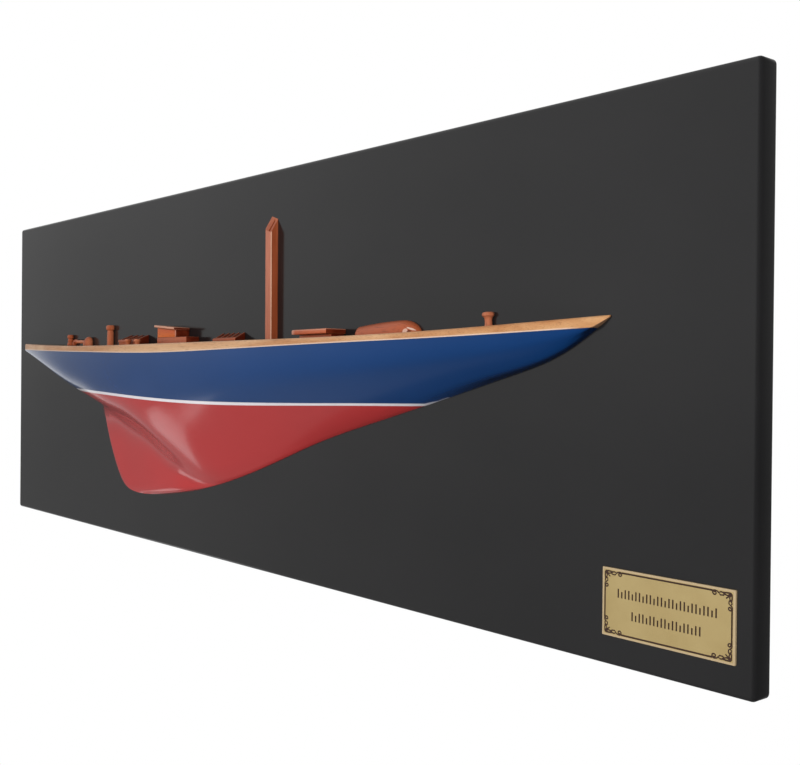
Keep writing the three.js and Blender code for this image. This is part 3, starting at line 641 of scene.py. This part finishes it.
# Skylights: pitched blocks of the same red-brown wood, glued to the deck, with raised glazing bars on the
# slope and a rail along the eave. The panes between the bars are stained dark.
pane_wood = varnished(
    "dark_pane_stain",
    (0.06, 0.014, 0.006), (0.10, 0.024, 0.010), (0.15, 0.04, 0.018),
    grain_along, pores_along, 0.16,
)
# The panes lie lowest on the slope, and the bars stand more than bar_lift above them.
bar_lift = 0.0003
for node, name in (("aft_skylight", "skylight_aft"), ("fore_skylight", "skylight_fore")):
    skylight = whole_faced(node)
    slopes = [f for f in skylight.data.polygons if f.normal.z > 0.5 and f.normal.y < -0.15]
    pane_level = min(f.normal.dot(f.center) for f in slopes)
    for face in slopes:
        if face.normal.dot(face.center) < pane_level + bar_lift:
            face.material_index = 1
    rubbed(skylight, 0.00015)
    end_faces(skylight, 2)
    lay_down(skylight, name, "red_wood", [joinery_wood, pane_wood, end_grain_and_shade], node)

# Hatch: a low coaming of red-brown wood, glued to the deck, under a thick lid that overhangs it. The lid's
# edges are rounded. It is paler at its after end, and a painted highlight runs along its top.
hatch_base = whole_faced("hatch_coaming")
rubbed(hatch_base, 0.0003)
end_faces(hatch_base)
lay_down(hatch_base, "hatch_base", "red_wood", [joinery_wood, end_grain_and_shade], "hatch_coaming")
hatch_cover = whole_faced("hatch_lid")
rubbed(hatch_cover, 0.0003)
end_faces(hatch_cover)
cover_low, cover_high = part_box("hatch_lid")
cover_wood = varnished(
    "faded_cover_wood",
    (0.34, 0.060, 0.018), (0.50, 0.100, 0.034), (0.60, 0.16, 0.065),
    grain_along, pores_along, 0.28,
)
# Paler at the after end, and a painted highlight along the top.
pale_after_end = 1 - cover_wood.x.step_at(cover_low.x + 0.0025, 0.003)
top_highlight = cover_wood.z.step_at(cover_high.z - 0.0012, 0.0006)
cover_tone = cover_wood.colours(0.6 * pale_after_end, cover_wood.tone, (0.66, 0.40, 0.30))
cover_tone = cover_wood.colours(0.4 * top_highlight, cover_tone, (0.66, 0.36, 0.25))
cover_wood.paint(cover_tone, cover_wood.gloss, cover_wood.relief, grain_depth)
lay_down(hatch_cover, "hatch_cover", "red_wood", [cover_wood, end_grain_and_shade], "hatch_lid")

# Dinghy: a small boat carved solid from red-brown wood, varnished, and glued keel up on the deck. Near its
# bow a few pale ragged spots, rougher and set a little in, lie around a dark spot.
boat_wood = varnished(
    "red_boat_wood",
    (0.32, 0.060, 0.017), (0.43, 0.092, 0.030), (0.52, 0.13, 0.050),
    (30, 260, 260), (120, 1400, 1400), 0.34,
)
ragged = boat_wood.noise((500, 500, 900), 3)


def patch(x, z, half_length, half_height, fall=0):
    """1 inside a ragged patch seen from the front, 0 outside it. It may fall towards the bow."""
    along = boat_wood.x - x
    across = boat_wood.z - z + fall * along
    along = along / half_length
    across = across / half_height
    return 1 - ((along * along + across * across) ** 0.5 + 0.6 * ragged).step_at(1.3, 0.2)


pale_spots = patch(0.2060, 0.0266, 0.0017, 0.0022) * 0.75
pale_spots = pale_spots.larger(patch(0.2092, 0.0284, 0.0028, 0.0006, 0.35))
dark_spot = patch(0.2085, 0.0262, 0.0013, 0.0015)
boat_tone = boat_wood.colours(pale_spots, boat_wood.tone, (0.76, 0.52, 0.42))
boat_tone = boat_wood.colours(0.8 * dark_spot, boat_tone, (0.10, 0.020, 0.008))
boat_wood.paint(boat_tone, boat_wood.gloss + 0.3 * pale_spots, 0.2 * boat_wood.grain - pale_spots, 0.0002)
dinghy = blank_from("dinghy", 45)
rounded(dinghy, 50)
lay_down(dinghy, "upturned_dinghy", "red_wood", [boat_wood], "dinghy")

# Posts: small turnings of red-brown wood, glued to the deck. Those against the board are cut in half along
# their length, and the two bitts in front of the aft skylight are whole.
post_wood = varnished(
    "red_post_wood",
    (0.28, 0.060, 0.020), (0.48, 0.130, 0.055), (0.62, 0.23, 0.12),
    (520, 520, 40), (2400, 2400, 150), 0.28,
)


def foot_of(node):
    """The middle of a fitting's foot on the deck, and the slope that it stands on."""
    foot_thickness = 0.0015
    solid = frame["nodes"][node]
    corners = [solid.matrix_world @ corner.co for corner in solid.data.vertices]
    foot = []
    for face in solid.data.polygons:
        if (solid.matrix_world.to_3x3() @ face.normal).normalized().z < -0.95:
            foot += [corners[i] for i in face.vertices]
    lowest = min(corner.z for corner in foot)
    foot = [corner for corner in foot if corner.z < lowest + foot_thickness]
    aft = min(foot, key=lambda corner: corner.x)
    fore = max(foot, key=lambda corner: corner.x)
    middle = (aft + fore) / 2
    middle.y = (min(corner.y for corner in foot) + max(corner.y for corner in foot)) / 2
    return middle, math.atan2(fore.z - aft.z, fore.x - aft.x)


def turned(outline, place, lean):
    """A turning drawn up ring by ring from its foot. outline holds (radius, height) in millimetres."""
    sizes = [(radius / 1000, level / 1000) for radius, level in outline]
    bpy.ops.object.select_all(action="DESELECT")
    bpy.ops.mesh.primitive_circle_add(vertices=40, radius=sizes[0][0], fill_type="NGON")
    post = bpy.context.object
    bpy.ops.object.mode_set(mode="EDIT")
    bpy.ops.mesh.select_mode(type="FACE")
    bpy.ops.mesh.select_all(action="SELECT")
    for (radius, level), (wider, higher) in zip(sizes, sizes[1:]):
        bpy.ops.mesh.extrude_region_move(TRANSFORM_OT_translate={"value": (0, 0, higher - level)})
        share = wider / radius
        bpy.ops.transform.resize(value=(share, share, 1), center_override=(0, 0, higher))
    bpy.ops.mesh.select_all(action="SELECT")
    bpy.ops.mesh.normals_make_consistent(inside=False)
    bpy.ops.object.mode_set(mode="OBJECT")
    post.location = place
    post.rotation_euler = (0, -lean, 0)
    bpy.ops.object.transform_apply(location=True, rotation=True, scale=True)
    return post


def halved(piece):
    """The half of a turning that stands in front of the board."""
    pick_up(piece)
    bpy.ops.object.mode_set(mode="EDIT")
    bpy.ops.mesh.select_all(action="SELECT")
    bpy.ops.mesh.bisect(plane_co=(0, face_of_board, 0), plane_no=(0, 1, 0), use_fill=True, clear_outer=True)
    bpy.ops.object.mode_set(mode="OBJECT")
    bpy.ops.object.shade_smooth_by_angle(angle=math.radians(40))


half_posts = {
    "bow_bollard": [
        (3.8, 0), (3.8, 0.6), (3.5, 1), (2.9, 1.7), (2.5, 2.6), (2.3, 3.6), (2.25, 5.5), (2.4, 6.8),
        (2.8, 7.7), (3.4, 8.2), (3.75, 8.4), (3.8, 8.9), (3.8, 9.5), (3.6, 10.1), (3.1, 10.5), (2.3, 10.7),
    ],
    "aft_post": [
        (3.35, 0), (3.4, 0.4), (3.4, 2.2), (3.2, 2.8), (2.7, 3.2), (2.6, 3.5), (2.75, 3.8), (2.9, 4.3),
        (2.9, 5.8), (2.7, 6.5), (2.55, 6.9), (2.8, 7.2), (3.25, 7.4), (3.4, 7.8), (3.4, 9.6), (3.15, 10.3),
        (2.5, 10.7), (1.8, 10.85),
    ],
    "tall_post": [
        (3.4, 0), (3.45, 0.3), (3.4, 8), (3.35, 13.8), (3.1, 14.5), (3.05, 14.9), (3.5, 15.3), (4.1, 15.9),
        (4.4, 16.4), (4.45, 17), (4.45, 18.5), (4.2, 19.3), (3.5, 19.8), (2.3, 20.1),
    ],
    "steering_drum": [
        (4.75, 0), (4.8, 0.3), (4.8, 3.2), (4.65, 4.6), (4.3, 5.9), (3.65, 7.2), (2.7, 8.2), (1.5, 8.9),
        (0.6, 9.1),
    ],
}
for node, outline in half_posts.items():
    post = turned(outline, *foot_of(node))
    halved(post)
    lay_down(post, node + "_turning", "red_wood", [post_wood], node)

bitt_outline = [
    (2.4, 0), (2.4, 0.4), (2.25, 0.7), (2.15, 3.4), (2.4, 4), (2.9, 4.4), (3, 4.9), (3, 5.6), (2.8, 6.1),
    (2.2, 6.45), (1.4, 6.6),
]
first_bitt = turned(bitt_outline, (0, 0, 0), 0)
bpy.ops.object.shade_smooth_by_angle(angle=math.radians(40))
for node in ("bitt_aft", "bitt_fore"):
    bitt = first_bitt.copy()
    bitt.data = first_bitt.data.copy()
    bpy.context.scene.collection.objects.link(bitt)
    bitt.location, lean = foot_of(node)
    bitt.rotation_euler = (0, -lean, 0)
    lay_down(bitt, node + "_turning", "red_wood", [post_wood], node)
pick_up(first_bitt)
bpy.ops.object.delete()

# Steering spindle: a turned barrel of red-brown wood that lies along the board between the aft post and the
# drum, on two small feet. Barrel and feet are cut flat at the back and glued to the board.
spindle_low, spindle_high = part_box("steering_spindle")
middle, lean = foot_of("steering_spindle")
barrel_length = (spindle_high.x - spindle_low.x) * 1000
axis_height = 0.0042
foot_size = (0.002, 0.0036, 0.0041)
# Each ring's radius in millimetres, and its place as a share of the barrel's length.
barrel_outline = [
    (1.5, 0), (2.1, 0.04), (2.3, 0.08), (2.3, 0.17), (2.1, 0.2), (1.7, 0.24), (1.6, 0.3), (1.6, 0.45),
    (1.75, 0.48), (1.75, 0.52), (1.6, 0.55), (1.6, 0.7), (1.7, 0.76), (2.1, 0.8), (2.3, 0.83), (2.3, 0.92),
    (2.1, 0.96), (1.5, 1),
]
end_drop = barrel_length / 2000 * math.sin(lean)
barrel_end = Vector((spindle_low.x, face_of_board, middle.z + axis_height - end_drop))
barrel_rings = [(radius, share * barrel_length) for radius, share in barrel_outline]
barrel = turned(barrel_rings, barrel_end, lean - math.pi / 2)
feet = []
for share in (-0.36, 0.36):
    bpy.ops.mesh.primitive_cube_add(
        size=1,
        location=middle + Vector((share * barrel_length / 1000, -0.0008, 0.002)),
        rotation=(0, -lean, 0),
        scale=foot_size,
    )
    rubbed(bpy.context.object, 0.0003)
    feet.append(bpy.context.object)
pick_up(barrel, *feet)
bpy.ops.object.join()
halved(barrel)
lay_down(barrel, "spindle", "red_wood", [post_wood], "steering_spindle")

# Plaque: a thin brass plate glued on the board's lower corner. Its border lines, corner scrolls and two rows
# of strokes are engraved and filled dark.
brass = Finish("engraved_brass")
brass.shader.inputs["Metallic"].default_value = 0.3
brushing = brass.noise((40, 900, 2600), 3)
tarnish = brass.noise((45, 45, 45), 4)
brass_tone = brass.colours(tarnish, (0.41, 0.295, 0.118), (0.54, 0.415, 0.190))
plate_low, plate_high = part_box("plaque")
plate_middle = (plate_low + plate_high) / 2
plate_half = (plate_high - plate_low) / 2
rim_width = 0.0011
# Along its rim the plate is paler.
at_end = abs(brass.x - plate_middle.x).step_at(plate_half.x - rim_width, 0.0003)
at_side = abs(brass.z - plate_middle.z).step_at(plate_half.z - rim_width, 0.0003)
pale_rim = at_end.larger(at_side)
brass_tone = brass.colours(0.4 * pale_rim, brass_tone, (0.72, 0.55, 0.40))
brass.paint(brass_tone, 0.3 + 0.1 * brushing, brushing, 0.00001)
fill = Finish("dark_fill")
crust = fill.noise((900, 900, 900), 3)
fill.paint(fill.colours(crust, (0.030, 0.014, 0.008), (0.06, 0.03, 0.02)), 0.5 + 0.2 * crust, crust, 0.00002)

# The dark fill lies in all that is cut into the plate's face, away from its edges.
plate = blank_from("plaque")
margin = 0.001
least_depth = 0.00005
back_skin = 0.0001
for face in plate.data.polygons:
    deep = plate_low.y + least_depth < face.center.y < plate_high.y - back_skin
    inside = plate_low.x + margin < face.center.x < plate_high.x - margin
    inside = inside and plate_low.z + margin < face.center.z < plate_high.z - margin
    face.material_index = 1 if deep and inside else 0
bpy.ops.object.shade_flat()
lay_down(plate, "plaque_plate", "brass", [brass, fill], "plaque")


def curl(x, z, radius, start, turns):
    """A scroll's line in millimetres, wound inwards from a start angle."""
    steps = 26
    narrowing = 0.72
    line = []
    for i in range(steps + 1):
        angle = start + turns * math.tau * i / steps
        reach = radius * (1 - narrowing * i / steps)
        line.append((x + reach * math.cos(angle), z + reach * math.sin(angle)))
    return line


corner_lines = [
    [(0.3, 3.2), (0.3, 1.0), (0.7, 0.5), (1.0, 0.3), (3.2, 0.3)],
    [(0.5, 0.5), (1.6, 1.1), (2.6, 2.6), (1.1, 1.6), (0.5, 0.5)],
    [(3.2, 0.3), (4.2, 1.7), (5.6, 1.8), (6.4, 0.9), (5.4, 0.3), (4.2, 0.5), (3.2, 0.3)],
    [(0.3, 3.2), (1.6, 3.9), (1.7, 5.1), (0.9, 5.8), (0.3, 5.0), (0.5, 3.9), (0.3, 3.2)],
    curl(8.2, 1.2, 1.2, -2.2, 1.3),
    [(6.4, 0.9), (7.0, 0.3), (7.5, 0.25)],
    curl(1.15, 7.2, 1.1, -2.5, -1.2),
    [(0.9, 5.8), (0.3, 6.2), (0.25, 6.6)],
    [(0.8, 0.4), (2.2, 1.5), (3.6, 1.2), (4.4, 0.6)],
    [(0.4, 0.8), (1.4, 2.2), (1.1, 3.5), (0.6, 4.3)],
    [(1.4, 1.2), (2.2, 2.2), (3.0, 2.9)],
]
scroll_data = bpy.data.curves.new("corner_scroll", "CURVE")
scroll_data.dimensions = "3D"
scroll_data.bevel_depth = 0.00042
scroll_data.bevel_resolution = 1
widening = 1.2
heightening = 1.05
for line in corner_lines:
    spline = scroll_data.splines.new("POLY")
    spline.points.add(len(line) - 1)
    for point, (x, z) in zip(spline.points, line):
        point.co = (widening * x / 1000, 0, heightening * z / 1000, 1)
scroll = bpy.data.objects.new("corner_scroll", scroll_data)
bpy.context.scene.collection.objects.link(scroll)
pick_up(scroll)
bpy.ops.object.convert(target="MESH")
border_inset = 0.0015
flattening = 0.12
corners = []
for side in (1, -1):
    for rise in (1, -1):
        corner = scroll.copy()
        corner.data = scroll.data.copy()
        bpy.context.scene.collection.objects.link(corner)
        corner.scale = (side, flattening, rise)
        corner_x = (plate_low.x if side > 0 else plate_high.x) + side * border_inset
        corner_z = (plate_low.z if rise > 0 else plate_high.z) + rise * border_inset
        corner.location = (corner_x, plate_low.y, corner_z)
        pick_up(corner)
        bpy.ops.object.transform_apply(location=True, rotation=True, scale=True)
        corners.append(corner)
pick_up(scroll)
bpy.ops.object.delete()
pick_up(*corners)
bpy.ops.object.join()
scrolls = bpy.context.object
bpy.ops.object.mode_set(mode="EDIT")
bpy.ops.mesh.select_all(action="SELECT")
bpy.ops.mesh.normals_make_consistent(inside=False)
bpy.ops.object.mode_set(mode="OBJECT")
lay_down(scrolls, "plaque_scrolls", "brass", [fill])
